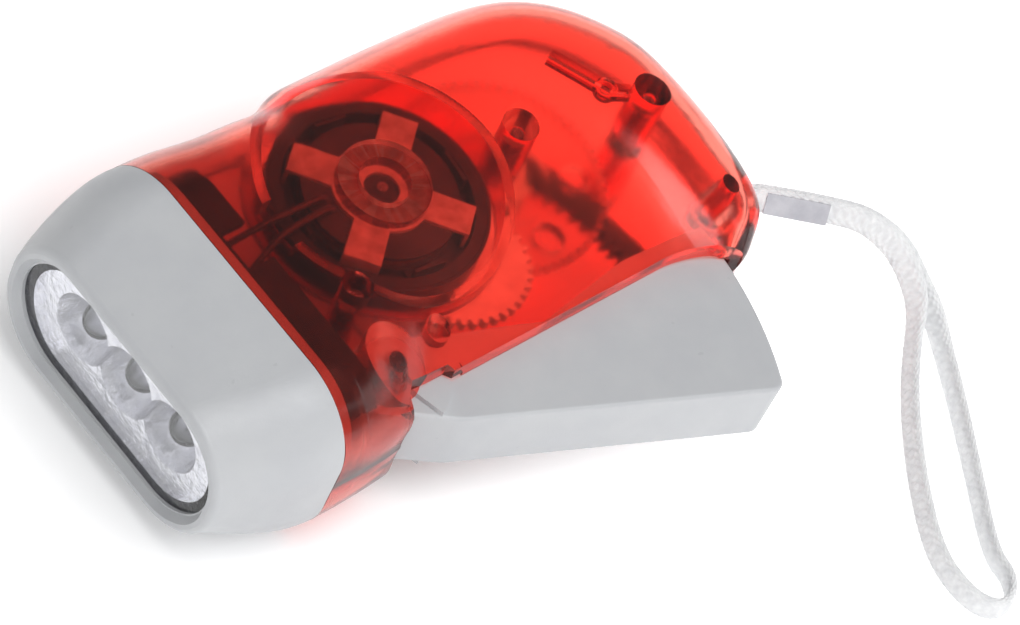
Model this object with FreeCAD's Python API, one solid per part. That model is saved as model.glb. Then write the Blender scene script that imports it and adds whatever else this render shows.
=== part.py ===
"""Squeeze-lever dynamo torch, lying on its side.

Working frame of this file, in millimetres: x runs from the lens window (0) to the tail, y from the
lever side to the palm side (0 at the window's centre), z is the thickness (0 on the parting plane).
The finished solids are moved so that the origin is the bottom centre of the torch.
"""
import FreeCAD
import Part
import math
import os

V = FreeCAD.Vector
X_AXIS = V(1, 0, 0)
Z_AXIS = V(0, 0, 1)

# Overall sizes
HALF_THICK = 14.4
SEAM_X = 15.3
TAIL_X = 94.2
BACK_Y = 24.25
COLLAR_TOP_Y = 24.2
COLLAR_BOTTOM_Y = -25.3
NECK_DIP = 1.45
LOWER_EDGE_Y = -22.1
TAIL_LOW_Y = -26.5
WALL = 2.0

# Section of the body
EDGE_ROUND = 10.5
CROWN_R = 58.0
CROWN_Y = 5.0
TAIL_CROWN_DROP = 4.3
SHELL_HEM = 1.6
ROUND_STEPS = 6
OUTLINE_SPLITS = (6, 12, 16, 20, 24)
SEAM_TRIM = 2.0
LIP_BEND = (78.9, -23.5)
LIP_END = (83.7, -26.4)
LIP_START_X = 72.6

# Running and seating clearances
RUN_FIT = 0.05
SEAT_GAP = 0.1
PIECE_GAP = 0.3
MESH_PLAY = 0.05

# Head
RIM_FRONT_X = -0.95
WINDOW_LENGTH = 37.8
WINDOW_WIDTH = 17.1
LENS_RECESS = 0.5
LENS_THICK = 1.0
LENS_LEDGE = 0.8
CUP_PITCH = 9.03
CUP_COUNT = 3
CUP_FRONT_R = 5.0
LED_R = 2.5
LED_FLANGE_R = 2.9
LED_TIP_X = 3.0
REFLECTOR_DEPTH = 7.0
BOARD_FRONT_X = 12.2
BOARD_THICK = 1.2
SPIGOT_LENGTH = 2.4
SPIGOT_WALL = 1.2
SPIGOT_GAP = 0.4
SPIGOT_ROOT = 0.3

# Lamp holder
HOLDER_END_X = 23.2
HOLDER_WALL = 1.2
HOLDER_WEB = 1.0
HOLDER_WINDOW = 24.0
HOLDER_LEVER_X = 18.4
HOLDER_LEVER_Z = 6.8

# Lever
PIVOT_X = 28.07
PIVOT_Y = -17.58
SQUEEZE_DEG = 22.5
LEVER_REAR_R = 54.9
LEVER_HALF_WIDTH = 5.12
LEVER_WALL = 1.4
LEVER_FLOOR = 1.6
LEVER_DROP = 2.4
HUB_DISC_R = 8.7
HUB_RAISE = 0.78
HUB_TOP_R = 5.2
HUB_BARREL_R = 3.0
PIVOT_PIN_R = 1.5
LEVER_CORNER_R = 1.8
LEVER_BEND_X = 37.2
LEVER_BEND_R = 9.0
LEVER_TOP = ((52.0, -11.2), (66.0, -3.0))
HUB_TRIM = ((31.6, -25.9), (29.0, -17.3), (18.0, -17.3), (18.0, -30.0), (31.6, -30.0))

# Lever spring
SPRING_WIRE_R = 0.35
SPRING_MEAN_R = 3.75
SPRING_TURNS = 3
SPRING_LOW_Z = -0.4
SPRING_PITCH = 1.15
SPRING_START_DEG = 24.0
SPRING_END_DEG = 2.6
SPRING_LEVER_LEG = 11.0
SPRING_CASE_LEG = 11.5

# Gear train
RACK_MODULE = 0.6
RACK_TEETH = 153
PINION_TEETH = 14
GEAR_MODULE = 0.5
DRIVE_TEETH = 60
IDLER_PINION_TEETH = 10
IDLER_WHEEL_TEETH = 40
ROTOR_PINION_TEETH = 10
PRESSURE_DEG = 20.0
WHEEL_ADDENDUM = 0.6
PINION_ADDENDUM = 0.9
ROOT_CLEARANCE = 0.25
DRIVE_ANGLE_DEG = 27.5
IDLER_ANGLE_DEG = 209.8
ROTOR_ANGLE_DEG = 125.2
DRIVE_PIN_R = 0.9
SMALL_PIN_R = 0.75
RACK_BACK_R = 49.2
RACK_LOW_Z = -3.3
RACK_HIGH_Z = -0.9
PINION_LOW_Z = -3.5
SAW_COUNT = 8
SAW_LOW_R = 4.3
SAW_HIGH_R = 5.2
CLUTCH_R = 7.6
CLUTCH_ROOF = 0.5
PAWL_THICK = 1.0
DRIVE_LOW_Z = -0.2
DRIVE_HIGH_Z = 1.4
WHEEL_LOW_Z = 1.9
WHEEL_HIGH_Z = 3.4
ROTOR_PINION_LOW_Z = 1.7

# Generator
ROTOR_R = 14.9
ROTOR_FLOOR_Z = 5.6
ROTOR_FLOOR_THICK = 0.9
MAGNET_R = 14.5
MAGNET_INNER_R = 12.9
MAGNET_HIGH_Z = 9.2
ARM_REACH = 12.3
ARM_WIDTH = 4.8
ARM_TURN_DEG = -51.5
ARM_COUNT = 4
PLATE_THICK = 0.5
PLATE_BORE_R = 2.4
NEAR_PLATE_Z = 10.1
BOSS_RING_R = 6.3
BOSS_RING_INNER_R = 3.5
GUARD_INNER_R = 16.2
GUARD_WALL = 1.4
GUARD_LOW_Z = 6.4
BOBBIN_FLANGE = 0.5
BOBBIN_R = 10.6
BOBBIN_CORE_R = 4.0
WIRE_R = 0.45

# Posts and bosses of the case
DRIVE_BOSS_R = 2.5
PIVOT_BOSS_R = 4.6
SMALL_BOSS_R = 2.0
SCREW_TAIL = (85.8, -2.1)
SCREW_HEAD_END = (29.0, -7.8)
SCREW_POST_R = (2.6, 2.0)
SCREW_R = 0.95
SCREW_HEAD_R = 1.7
SCREW_HEAD_DEPTH = 1.3
SCREW_TIP_Z = 8.0
SLOT_REACH = 1.1
SLOT_HALF_WIDTH = 0.2
SLOT_DEPTH = 0.7
PIN_REACH = 10.5
PIVOT_PIN_REACH = 8.6
STRAP_POST = (88.2, -17.3)
STRAP_POST_R = 1.3
SMALL_POST = (37.0, -16.1)
SMALL_POST_R = 1.8
RING_BOSS = (79.8, 0.9)
RING_BOSS_R = 1.6
RING_BOSS_INNER_R = 0.7
RING_BOSS_HEIGHT = 1.2
RIB_OUTLINES = (
    ((75.2, 8.2), (76.1, 8.6), (80.1, -0.1), (79.2, -0.5)),
    ((79.2, -0.5), (80.1, -0.1), (82.0, -1.0), (81.6, -1.9)),
)
RIB_HEIGHT = 1.0
ROOT_DEPTH = 0.5

# Wrist strap: a limp braid, one unbroken run from the post, round the loop and back
STRAP_R = 0.8


def rotated(shape, centre, degrees):
    """Copy of a shape turned about a line along z through centre."""
    turned = shape.copy()
    turned.rotate(V(centre[0], centre[1], 0), Z_AXIS, degrees)
    return turned


def polar(centre, radius, degrees):
    """Point at a radius and an angle from a centre."""
    a = math.radians(degrees)
    return (centre[0] + radius * math.cos(a), centre[1] + radius * math.sin(a))


def cylinder(centre, radius, z_low, z_high):
    """Round bar along z."""
    return Part.makeCylinder(radius, z_high - z_low, V(centre[0], centre[1], z_low))


def tube(centre, outer, inner, z_low, z_high):
    """Ring along z."""
    return cylinder(centre, outer, z_low, z_high).cut(cylinder(centre, inner, z_low - 1, z_high + 1))


def prism(points, z_low, z_high):
    """Straight-sided block along z from plain outline points."""
    loop = Part.makePolygon([V(x, y, z_low) for x, y in points] + [V(points[0][0], points[0][1], z_low)])
    return Part.Face(loop).extrude(V(0, 0, z_high - z_low))


def box(x_low, x_high, y_low, y_high, z_low, z_high):
    """Rectangular block by its corners."""
    return Part.makeBox(x_high - x_low, y_high - y_low, z_high - z_low, V(x_low, y_low, z_low))


PIVOT = (PIVOT_X, PIVOT_Y)
RACK_PITCH_R = RACK_MODULE * RACK_TEETH / 2
PINION_PITCH_R = RACK_MODULE * PINION_TEETH / 2
DRIVE_AXIS = polar(PIVOT, RACK_PITCH_R - PINION_PITCH_R, DRIVE_ANGLE_DEG)
IDLER_AXIS = polar(DRIVE_AXIS, GEAR_MODULE * (DRIVE_TEETH + IDLER_PINION_TEETH) / 2, IDLER_ANGLE_DEG)
ROTOR_AXIS = polar(IDLER_AXIS, GEAR_MODULE * (IDLER_WHEEL_TEETH + ROTOR_PINION_TEETH) / 2, ROTOR_ANGLE_DEG)


# Body shell: outlines stacked along z, drawn in by the rounded edge and the crown
def crown_y(z, inset, centre_y):
    """Height line of the crowned face at level z, for a face set in by a wall."""
    radius = CROWN_R - inset
    centre_z = HALF_THICK - CROWN_R
    return centre_y - math.sqrt(max(radius ** 2 - (z - centre_z) ** 2, 0))


def edge_points(step_deg, inset):
    """Outline points of the body at one step of the rounded edge."""
    a = math.radians(step_deg)
    radius = EDGE_ROUND - inset
    z = HALF_THICK - EDGE_ROUND + radius * math.sin(a)
    pull = inset + radius * (1 - math.cos(a))
    low = LOWER_EDGE_Y - SHELL_HEM
    back = [
        (SEAM_X - SEAM_TRIM, COLLAR_TOP_Y, 0, -1),
        (20.0, COLLAR_TOP_Y - 0.15, 0, -1),
        (27.0, BACK_Y - NECK_DIP * 0.75, 0, -1),
        (34.0, BACK_Y - NECK_DIP, 0, -1),
        (38.2, BACK_Y - NECK_DIP, 0, -1),
        (40.6, BACK_Y - 0.45, 0, -1),
        (45.0, BACK_Y, 0, -1),
        (53.0, BACK_Y, 0, -1),
        (64.0, BACK_Y - 0.2, 0, -1),
        (73.0, BACK_Y - 0.8, -0.10, -1),
        (80.2, BACK_Y - 2.7, -0.45, -0.89),
        (86.2, BACK_Y - 6.7, -0.66, -0.75),
        (90.6, BACK_Y - 12.2, -0.85, -0.53),
    ]
    tail = (
        (TAIL_X - 1.0, 0.17, 0.97),
        (TAIL_X, 0.385, 1.05),
        (TAIL_X, 0.565, 1.08),
        (TAIL_X - 1.0, 0.77, 1.05),
        (TAIL_X - 2.8, 0.88, 0.97),
        (TAIL_X - 6.4, 0.95, 0.77),
        (TAIL_X - 10.2, 1.0, 0.6),
    )
    points = [V(x + nx * pull, y + ny * pull, z) for x, y, nx, ny in back]
    top_y = points[-1].y
    fall = top_y - max(TAIL_LOW_Y + inset, crown_y(z, inset, CROWN_Y - TAIL_CROWN_DROP))
    for x, share, lean in tail:
        points.append(V(x - lean * pull, top_y - share * fall, z))
    grip_crown = crown_y(z, inset, CROWN_Y)
    blend_y = max(low - 1.2, crown_y(z, inset, CROWN_Y - 0.3 * TAIL_CROWN_DROP))
    points.append(V(77.5 - 0.3 * pull, blend_y, z))
    grip = max(low, grip_crown)
    for x in (68.0, 54.0, 42.0):
        points.append(V(x, grip, z))
    collar = COLLAR_BOTTOM_Y + pull
    for x, share in ((35.0, 0.93), (29.0, 0.52), (24.0, 0.12), (19.5, 0.01), (SEAM_X - SEAM_TRIM, 0)):
        points.append(V(x, collar + share * (grip - collar), z))
    return points


def level_wire(points, z, parameters):
    """Closed outline of one level: one smooth curve, split for the loft, and a straight closing edge."""
    placed = [V(p.x, p.y, z) for p in points]
    curve = Part.BSplineCurve()
    ends = {"InitialTangent": V(1, 0.02, 0), "FinalTangent": V(-1, 0, 0)}
    curve.interpolate(Points=placed, Parameters=parameters, **ends)
    cuts = (0,) + OUTLINE_SPLITS + (len(points) - 1,)
    edges = [curve.toShape(parameters[a], parameters[b]) for a, b in zip(cuts, cuts[1:])]
    edges.append(Part.LineSegment(placed[-1], placed[0]).toShape())
    return Part.Wire(edges)


def body_half(inset):
    """Half of the body's outer form, or of its hollow, from the parting plane up."""
    base = edge_points(0, inset)
    parameters = [0.0]
    for a, b in zip(base, base[1:]):
        parameters.append(parameters[-1] + (b - a).Length)
    wires = [level_wire(base, z, parameters) for z in (-4.0, 0.0)]
    for step in range(ROUND_STEPS + 1):
        points = edge_points(90.0 * step / ROUND_STEPS, inset)
        wires.append(level_wire(points, points[0].z, parameters))
    solid = Part.makeLoft(wires, True, False)
    return solid.common(box(SEAM_X, 120, -60, 60, 0, 40))


def lower_edge_cut():
    """Everything below the shell's lower edge: notch at the hub, straight edge, tail lip."""
    notch_front = PIVOT_X - 0.9
    notch_back = PIVOT_X + 6.8
    notch_y = LOWER_EDGE_Y + 1.0
    far_low = -60.0
    notch_low = LOWER_EDGE_Y - 0.5
    lip = [V(LIP_START_X, LOWER_EDGE_Y, 0), V(*LIP_BEND, 0), V(*LIP_END, 0)]
    run = [
        (V(notch_front, far_low, 0), V(notch_front, notch_low, 0)),
        (V(notch_front, notch_low, 0), V(notch_front + 1.4, notch_y, 0)),
        (V(notch_front + 1.4, notch_y, 0), V(notch_back, notch_y, 0)),
        (V(notch_back, notch_y, 0), V(notch_back + 0.7, LOWER_EDGE_Y, 0)),
        (V(notch_back + 0.7, LOWER_EDGE_Y, 0), lip[0]),
    ]
    edges = [Part.LineSegment(a, b).toShape() for a, b in run]
    edges.append(Part.Arc(lip[0], lip[1], lip[2]).toShape())
    edges.append(Part.LineSegment(lip[2], V(LIP_END[0], far_low, 0)).toShape())
    edges.append(Part.LineSegment(V(LIP_END[0], far_low, 0), run[0][0]).toShape())
    block = Part.Face(Part.Wire(edges)).extrude(V(0, 0, 40))
    return block


def screw_posts(hollow):
    """Posts that the case screws go into."""
    ends = zip((SCREW_TAIL, SCREW_HEAD_END), SCREW_POST_R)
    return [cylinder(centre, radius, 0, 40).common(hollow) for centre, radius in ends]


def shell_half():
    """Plain half shell, open at the seam and along the lever slot, and its hollow."""
    outer = body_half(0).cut(lower_edge_cut())
    hollow = body_half(WALL)
    tail_arc = cylinder(PIVOT, LEVER_REAR_R + PIECE_GAP, -1, LEVER_HALF_WIDTH + PIECE_GAP)
    slot = tail_arc.common(box(PIVOT_X - 1.0, 90, -40, PIVOT_Y, -1, LEVER_HALF_WIDTH + PIECE_GAP))
    hub_room = box(PIVOT_X - 1.0, PIVOT_X + 9.5, -40, PIVOT_Y, -1, LEVER_HALF_WIDTH + HUB_RAISE + PIECE_GAP)
    hub_sweep = cylinder(PIVOT, HUB_TOP_R + PIECE_GAP, -1, LEVER_HALF_WIDTH + HUB_RAISE + PIECE_GAP)
    shell = outer.cut([hollow, slot, hub_room, hub_sweep])
    strap_way = box(TAIL_X - 5.6, TAIL_X + 2, STRAP_POST[1] - 3.2, STRAP_POST[1] + 3.3, -1, 2.2)
    return shell.cut(strap_way), hollow


def left_shell():
    """Near half: blind posts, generator seat, guard ring and ribs."""
    shell, hollow = shell_half()
    roof = HALF_THICK - WALL
    hub_face = LEVER_HALF_WIDTH + HUB_RAISE + SEAT_GAP
    additions = screw_posts(hollow)
    additions.append(cylinder(PIVOT, PIVOT_BOSS_R, hub_face, 40).common(hollow))
    additions.append(cylinder(DRIVE_AXIS, DRIVE_BOSS_R, DRIVE_HIGH_Z + PIECE_GAP, 40).common(hollow))
    plate_top = NEAR_PLATE_Z + PLATE_THICK
    additions.append(tube(ROTOR_AXIS, BOSS_RING_R, BOSS_RING_INNER_R, plate_top, roof + ROOT_DEPTH))
    guard = tube(ROTOR_AXIS, GUARD_INNER_R + GUARD_WALL, GUARD_INNER_R, GUARD_LOW_Z, 40).common(hollow)
    wire_notch = box(20, ROTOR_AXIS[0] - 10, ROTOR_AXIS[1] - 2.5, ROTOR_AXIS[1] + 4.5, 10.0, 40)
    additions.append(guard.cut(wire_notch))
    additions.append(cylinder(STRAP_POST, STRAP_POST_R, 0, 40).common(hollow))
    additions.append(cylinder(SMALL_POST, SMALL_POST_R, GUARD_LOW_Z, 40).common(hollow))
    ring_low = roof - RING_BOSS_HEIGHT
    additions.append(tube(RING_BOSS, RING_BOSS_R, RING_BOSS_INNER_R, ring_low, roof + ROOT_DEPTH))
    for outline in RIB_OUTLINES:
        additions.append(prism(outline, roof - RIB_HEIGHT, roof + ROOT_DEPTH))
    body = shell.fuse(additions).removeSplitter()
    bore_end = SCREW_TIP_Z + 0.5
    holes = [cylinder(centre, SCREW_R - SEAT_GAP, -1, bore_end) for centre in (SCREW_TAIL, SCREW_HEAD_END)]
    holes.append(cylinder(PIVOT, PIVOT_PIN_R, 0, PIVOT_PIN_REACH + SEAT_GAP))
    holes.append(cylinder(DRIVE_AXIS, DRIVE_PIN_R, 0, PIN_REACH - 1.0 + SEAT_GAP))
    return body.cut(holes)


def right_shell():
    """Far half: through-holes for the screws and the bosses that carry the gear pins."""
    shell, hollow = shell_half()
    hub_face = LEVER_HALF_WIDTH + HUB_RAISE + SEAT_GAP
    additions = screw_posts(hollow)
    additions.append(cylinder(PIVOT, PIVOT_BOSS_R, hub_face, 40).common(hollow))
    additions.append(cylinder(STRAP_POST, STRAP_POST_R, 0, 40).common(hollow))
    holes = [cylinder(PIVOT, PIVOT_PIN_R, 0, PIVOT_PIN_REACH + SEAT_GAP)]
    for axis, top, radius, pin in (
        (DRIVE_AXIS, -PINION_LOW_Z + PIECE_GAP, DRIVE_BOSS_R, DRIVE_PIN_R),
        (IDLER_AXIS, -DRIVE_LOW_Z + PIECE_GAP, SMALL_BOSS_R, SMALL_PIN_R),
        (ROTOR_AXIS, -ROTOR_PINION_LOW_Z + PIECE_GAP, SMALL_BOSS_R, SMALL_PIN_R),
    ):
        boss = cylinder(axis, radius, max(top, 0), 40).common(hollow)
        if top < 0:
            boss = boss.fuse(cylinder(axis, radius, top, 0))
        additions.append(boss)
        holes.append(cylinder(axis, pin, top - 1, PIN_REACH + SEAT_GAP))
    for centre in (SCREW_TAIL, SCREW_HEAD_END):
        holes.append(cylinder(centre, SCREW_R + RUN_FIT, -1, 40))
        holes.append(cylinder(centre, SCREW_HEAD_R + SEAT_GAP, HALF_THICK - WALL - SCREW_HEAD_DEPTH, 40))
    body = shell.fuse(additions).removeSplitter().cut(holes)
    return body.mirror(V(0, 0, 0), Z_AXIS)


# Head
def round_rect(x, y_low, y_high, half_z, corner, inset=0.0):
    """Closed rounded rectangle across the torch at x."""
    y0, y1, z1 = y_low + inset, y_high - inset, half_z - inset
    r = min(max(corner - inset, 0.5), z1 - 0.2)
    s = r * (1 - math.sqrt(0.5))
    pts = [
        (y0, -z1 + r), (y0, z1 - r), (y0 + s, z1 - s), (y0 + r, z1), (y1 - r, z1), (y1 - s, z1 - s),
        (y1, z1 - r), (y1, -z1 + r), (y1 - s, -z1 + s), (y1 - r, -z1), (y0 + r, -z1), (y0 + s, -z1 + s),
    ]
    p = [V(x, y, z) for y, z in pts]
    edges = [
        Part.LineSegment(p[0], p[1]).toShape(), Part.Arc(p[1], p[2], p[3]).toShape(),
        Part.LineSegment(p[3], p[4]).toShape(), Part.Arc(p[4], p[5], p[6]).toShape(),
        Part.LineSegment(p[6], p[7]).toShape(), Part.Arc(p[7], p[8], p[9]).toShape(),
        Part.LineSegment(p[9], p[10]).toShape(), Part.Arc(p[10], p[11], p[0]).toShape(),
    ]
    return Part.Wire(edges)


def stadium(length, width, x_low, x_high):
    """Block with a stadium outline across the torch."""
    r = width / 2
    straight = length / 2 - r
    body = box(x_low, x_high, -straight, straight, -r, r)
    for y in (-straight, straight):
        body = body.fuse(Part.makeCylinder(r, x_high - x_low, V(x_low, y, 0), X_AXIS))
    return body.removeSplitter()


HEAD_SECTIONS = [
    (0.0, -21.0, 21.1, 10.9, 9.9),
    (4.2, -22.6, 22.7, 12.2, 10.2),
    (8.4, -24.2, 23.8, 13.3, 10.4),
    (11.8, -25.0, 24.3, 14.05, 10.5),
    (SEAM_X, COLLAR_BOTTOM_Y, COLLAR_TOP_Y, HALF_THICK, EDGE_ROUND),
]


def collar_block(x_low, x_high, inset):
    """Block with the collar's section, drawn in by inset."""
    rings = []
    for x in (x_low, x_high):
        rings.append(round_rect(x, COLLAR_BOTTOM_Y, COLLAR_TOP_Y, HALF_THICK, EDGE_ROUND, inset))
    return Part.makeLoft(rings, True, True)


def head_cap():
    """Front cap: rounded bezel dished to the window, hollow, with a spigot into the shells."""
    wires = [round_rect(x, y0, y1, z1, r) for x, y0, y1, z1, r in HEAD_SECTIONS]
    outer = Part.makeLoft(wires, True, False)
    x0, y0, y1, z1, r0 = HEAD_SECTIONS[0]
    rim = [(RIM_FRONT_X, 0.9), (RIM_FRONT_X + 0.35, 0.3), (x0, 0.0)]
    rim_rings = [round_rect(x, y0, y1, z1, r0, inset) for x, inset in rim]
    cap = outer.fuse(Part.makeLoft(rim_rings, True, False))
    window_r = WINDOW_WIDTH / 2
    floor_y = WINDOW_LENGTH / 2 + 0.15
    dish_mouth = round_rect(RIM_FRONT_X - 0.1, y0, y1, z1, r0, 1.5)
    dish_floor = round_rect(0.05, -floor_y, floor_y, window_r + 0.15, window_r - 0.1)
    cap = cap.cut(Part.makeLoft([dish_mouth, dish_floor], True, True))
    cap = cap.cut(stadium(WINDOW_LENGTH, WINDOW_WIDTH, -2, LENS_RECESS + 1))
    pocket_end = LENS_RECESS + LENS_THICK + REFLECTOR_DEPTH
    length, width = WINDOW_LENGTH + 2 * LENS_LEDGE, WINDOW_WIDTH + 2 * LENS_LEDGE
    pocket = stadium(length, width, LENS_RECESS, pocket_end)
    cap = cap.cut(pocket)
    inner = [round_rect(x, y0, y1, z1, r, WALL) for x, y0, y1, z1, r in HEAD_SECTIONS[2:]]
    cap = cap.cut(Part.makeLoft(inner, True, False))

    spigot_end = SEAM_X + SPIGOT_LENGTH
    spigot = collar_block(SEAM_X - 3.0, spigot_end, WALL + SPIGOT_GAP)
    root = collar_block(SEAM_X - 3.0, SEAM_X - SEAT_GAP, WALL - SPIGOT_ROOT)
    bore = collar_block(SEAM_X - 4.0, spigot_end + 1, WALL + SPIGOT_GAP + SPIGOT_WALL)
    spigot = spigot.fuse(root).cut(bore)
    joint_gap = collar_block(SEAM_X - SEAT_GAP, SEAM_X + 1, -1)
    return cap.cut(joint_gap).fuse(spigot).removeSplitter()


def lens():
    """Clear flat window, held behind the bezel's ledge."""
    reach = 2 * (LENS_LEDGE - SEAT_GAP)
    return stadium(WINDOW_LENGTH + reach, WINDOW_WIDTH + reach, LENS_RECESS, LENS_RECESS + LENS_THICK)


def cup_centres():
    """Heights of the three lamps along y."""
    return [CUP_PITCH * (i - (CUP_COUNT - 1) / 2) for i in range(CUP_COUNT)]


def reflector():
    """Plated block with three flared cups and a skirt that stands on the board."""
    front = LENS_RECESS + LENS_THICK
    reach = 2 * (LENS_LEDGE - SEAT_GAP)
    length, width = WINDOW_LENGTH + reach, WINDOW_WIDTH + reach
    body = stadium(length, width, front, front + REFLECTOR_DEPTH - SEAT_GAP)
    dish = stadium(length - 4, width - 3, front - 1, front + 0.9)
    body = body.cut(dish)
    back = front + REFLECTOR_DEPTH
    for y in cup_centres():
        profile = [
            Part.LineSegment(V(front - 1, y, 0), V(front - 1, y + CUP_FRONT_R + 0.4, 0)).toShape(),
            Part.Arc(V(front - 1, y + CUP_FRONT_R + 0.4, 0), V(front + 3.2, y + CUP_FRONT_R - 0.7, 0),
                     V(back + 0.5, y + LED_R + 0.15, 0)).toShape(),
            Part.LineSegment(V(back + 0.5, y + LED_R + 0.15, 0), V(back + 0.5, y, 0)).toShape(),
            Part.LineSegment(V(back + 0.5, y, 0), V(front - 1, y, 0)).toShape(),
        ]
        cup = Part.Face(Part.Wire(profile)).revolve(V(0, y, 0), X_AXIS, 360)
        body = body.cut(cup)
    skirt = stadium(length - 8, width - 4, back - SEAT_GAP - 0.5, BOARD_FRONT_X)
    skirt = skirt.cut(stadium(length - 10, width - 6, back - 2, BOARD_FRONT_X + 1))
    return body.fuse(skirt).removeSplitter()


def leds():
    """Three round lamps with domed tips, one solid each."""
    solids = []
    for y in cup_centres():
        dome = Part.makeSphere(LED_R, V(LED_TIP_X + LED_R, y, 0))
        dome_x = LED_TIP_X + LED_R
        barrel = Part.makeCylinder(LED_R, BOARD_FRONT_X - dome_x, V(dome_x, y, 0), X_AXIS)
        flange = Part.makeCylinder(LED_FLANGE_R, 1.0, V(BOARD_FRONT_X - 1.0, y, 0), X_AXIS)
        solids.append(dome.fuse([barrel, flange]).removeSplitter())
    return Part.makeCompound(solids)


def led_board():
    """Circuit board that carries the lamps."""
    reach = 2 * (LENS_LEDGE - SEAT_GAP)
    length, width = WINDOW_LENGTH + reach - 4, WINDOW_WIDTH + reach - 2
    return stadium(length, width, BOARD_FRONT_X, BOARD_FRONT_X + BOARD_THICK)


# Gears
def involute(angle):
    """Involute function of a pressure angle in radians."""
    return math.tan(angle) - angle


def flank_angle(radius, teeth, module, play):
    """Half the angle that a tooth covers at a radius, in radians."""
    pitch_r = module * teeth / 2
    base_r = pitch_r * math.cos(math.radians(PRESSURE_DEG))
    half = math.pi / (2 * teeth) - play / (2 * pitch_r)
    local = math.acos(min(base_r / radius, 1.0)) if radius > base_r else 0.0
    return half + involute(math.radians(PRESSURE_DEG)) - involute(local)


def gear(centre, teeth, module, addendum, dedendum, phase_deg, z_low, z_high):
    """Spur gear with a tooth centred at the phase angle."""
    pitch_r = module * teeth / 2
    root_r = pitch_r - dedendum * module
    tip_r = pitch_r + addendum * module
    radii = (root_r, (root_r + pitch_r) / 2, pitch_r, tip_r)
    points = []
    for k in range(teeth):
        middle = math.radians(phase_deg) + 2 * math.pi * k / teeth
        side = [(r, flank_angle(r, teeth, module, MESH_PLAY)) for r in radii]
        for r, half in side:
            points.append(polar(centre, r, math.degrees(middle - half)))
        for r, half in reversed(side):
            points.append(polar(centre, r, math.degrees(middle + half)))
    return prism(points, z_low, z_high)


def meshed_phase(centre_a, teeth_a, phase_a, centre_b, teeth_b):
    """Phase of gear b so that it meshes with gear a outside it."""
    theta = math.degrees(math.atan2(centre_b[1] - centre_a[1], centre_b[0] - centre_a[0]))
    u = (theta - phase_a) * teeth_a / 360.0
    return theta + 180.0 - (0.5 - u) * 360.0 / teeth_b


RACK_PHASE = DRIVE_ANGLE_DEG
PINION_PHASE = DRIVE_ANGLE_DEG - 0.5 * 360.0 / PINION_TEETH
DRIVE_PHASE = 0.0
IDLER_PHASE = meshed_phase(DRIVE_AXIS, DRIVE_TEETH, DRIVE_PHASE, IDLER_AXIS, IDLER_PINION_TEETH)
ROTOR_PHASE = meshed_phase(IDLER_AXIS, IDLER_WHEEL_TEETH, IDLER_PHASE, ROTOR_AXIS, ROTOR_PINION_TEETH)


def rack_sector():
    """Toothed arc of the lever, teeth towards the pivot, drawn in the rest position."""
    tip_r = RACK_PITCH_R - WHEEL_ADDENDUM * RACK_MODULE
    root_r = RACK_PITCH_R + (PINION_ADDENDUM + ROOT_CLEARANCE) * RACK_MODULE
    pitch = 360.0 / RACK_TEETH
    first, last = -11, 0
    points = []
    for k in range(first, last + 1):
        middle = RACK_PHASE + (k + 0.5) * pitch
        radii = (tip_r, RACK_PITCH_R, root_r)
        side = [(r, math.degrees(flank_angle(r, RACK_TEETH, RACK_MODULE, -MESH_PLAY))) for r in radii]
        for r, half in side:
            points.append(V(*polar(PIVOT, r, middle - half), RACK_LOW_Z))
        for r, half in reversed(side):
            points.append(V(*polar(PIVOT, r, middle + half), RACK_LOW_Z))
    end_deg = RACK_PHASE + (last + 1.2) * pitch
    start_deg = -SQUEEZE_DEG - 6.0
    points.append(V(*polar(PIVOT, tip_r, end_deg), RACK_LOW_Z))
    outer_end = V(*polar(PIVOT, RACK_BACK_R, end_deg), RACK_LOW_Z)
    outer_mid = V(*polar(PIVOT, RACK_BACK_R, (end_deg + start_deg) / 2), RACK_LOW_Z)
    outer_start = V(*polar(PIVOT, RACK_BACK_R, start_deg), RACK_LOW_Z)
    inner_start = V(*polar(PIVOT, tip_r, start_deg), RACK_LOW_Z)
    inner_mid = V(*polar(PIVOT, tip_r, (start_deg + RACK_PHASE + first * pitch) / 2), RACK_LOW_Z)
    edges = [Part.LineSegment(a, b).toShape() for a, b in zip(points, points[1:])]
    edges.append(Part.LineSegment(points[-1], outer_end).toShape())
    edges.append(Part.Arc(outer_end, outer_mid, outer_start).toShape())
    edges.append(Part.LineSegment(outer_start, inner_start).toShape())
    edges.append(Part.Arc(inner_start, inner_mid, points[0]).toShape())
    return Part.Face(Part.Wire(edges)).extrude(V(0, 0, RACK_HIGH_Z - RACK_LOW_Z))


# Lever, drawn squeezed shut and then turned to rest
def upright_edges(block, x):
    """Edges along z of a block's underside at one x."""
    return [e for e in block.Edges if e.BoundBox.ZLength > 0.5 and e.BoundBox.XLength < 0.01
            and abs(e.CenterOfMass.x - x) < 0.1 and e.CenterOfMass.y < PIVOT_Y]


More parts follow.
